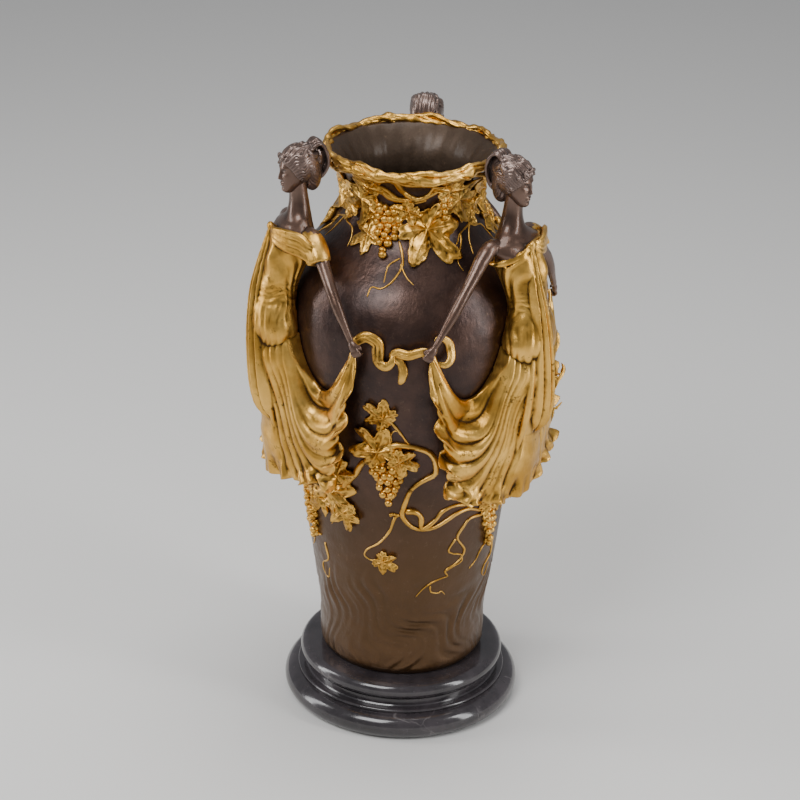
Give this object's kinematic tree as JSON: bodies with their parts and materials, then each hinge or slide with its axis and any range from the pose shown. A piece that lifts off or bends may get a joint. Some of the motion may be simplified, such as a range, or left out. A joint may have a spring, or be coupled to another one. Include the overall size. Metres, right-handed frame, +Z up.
{
  "type": "bronze vase with three maidens",
  "caption": "Baluster bronze vase with gilt vine relief and three draped maidens standing around it, the loose ends of their gilt gowns curling on the vase between their hands, on a turned dark marble plinth.",
  "frame": {"origin": "centre of the plinth's underside", "axes": "+Z up along the vase's axis; -Y through the middle of the vine panel between the left and right maidens; +X to the right seen from there"},
  "size_m": [0.2259, 0.2284, 0.4501],
  "materials": {
    "dark_marble": "polished dark marble with fine pale specks",
    "bronze": "dark brown patinated bronze, gilt on the vines",
    "gilt_bronze": "antique gilt drapery, dark brown patina on skin and hair"
  },
  "bodies": {
    "root": {"marble_plinth": "dark_marble", "vase": "bronze", "left_maiden": "gilt_bronze", "right_maiden": "gilt_bronze", "back_maiden": "gilt_bronze"}
  },
  "joints": []
}
